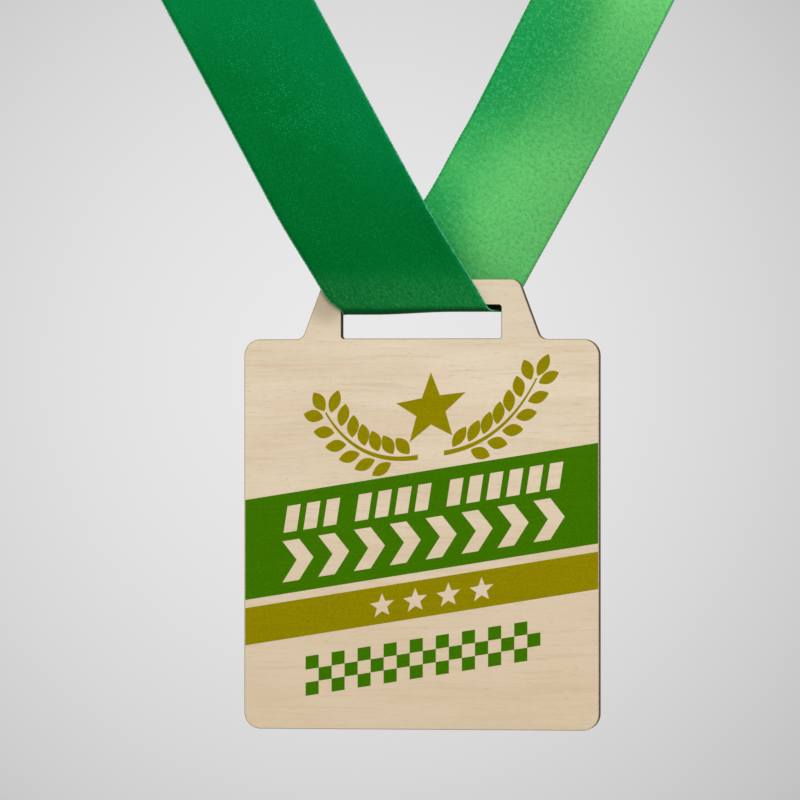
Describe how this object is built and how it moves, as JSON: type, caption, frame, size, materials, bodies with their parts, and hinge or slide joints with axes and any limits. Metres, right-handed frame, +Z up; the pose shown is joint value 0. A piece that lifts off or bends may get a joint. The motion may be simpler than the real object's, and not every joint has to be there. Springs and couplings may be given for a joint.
{
  "type": "medal",
  "caption": "Square wooden medal with a slotted tab and printed bands, hanging on a satin neck ribbon that folds through the slot and is sewn behind the neck.",
  "frame": {"origin": "on the ribbon's inner face, in the middle of its sewn lap behind the neck, where it rests on the wearer's nape", "axes": "+Z up, +Y from the medal's printed face towards its back, +X to the right as the printed face is looked at"},
  "size_m": [0.2168, 0.1535, 0.3197],
  "materials": {
    "maple_face": "pale maple veneer, sanded, unvarnished",
    "core_wood": "plywood core with a scorched laser-cut edge",
    "green_satin": "double-face polyester satin",
    "sewing_thread": "spun polyester thread"
  },
  "bodies": {
    "ribbon": {"ribbon_left_leg": "green_satin", "ribbon_left_shoulder": "green_satin", "ribbon_left_nape": "green_satin", "ribbon_right_leg": "green_satin", "ribbon_right_shoulder": "green_satin", "ribbon_right_nape": "green_satin", "ribbon_front_bend": "green_satin", "ribbon_back_bend": "green_satin", "seam_needle_thread": "sewing_thread", "seam_bobbin_thread": "sewing_thread"},
    "ribbon_wrap": {"ribbon_fold": "green_satin"},
    "medal": {"front_veneer": "maple_face", "core_board": "core_wood", "back_veneer": "maple_face"}
  },
  "joints": [
    {"name": "medal_swing", "type": "hinge", "parent": "ribbon", "child": "ribbon_wrap", "pos_m": [0, -0.14947, -0.225], "axis": [1, 0, 0], "range_deg": [-70, 70], "deforming": ["ribbon_front_bend", "ribbon_back_bend"]},
    {"name": "medal_rock", "type": "hinge", "parent": "ribbon_wrap", "child": "medal", "pos_m": [0, -0.14947, -0.22969], "axis": [0, 1, 0], "range_deg": [-2, 2]}
  ]
}
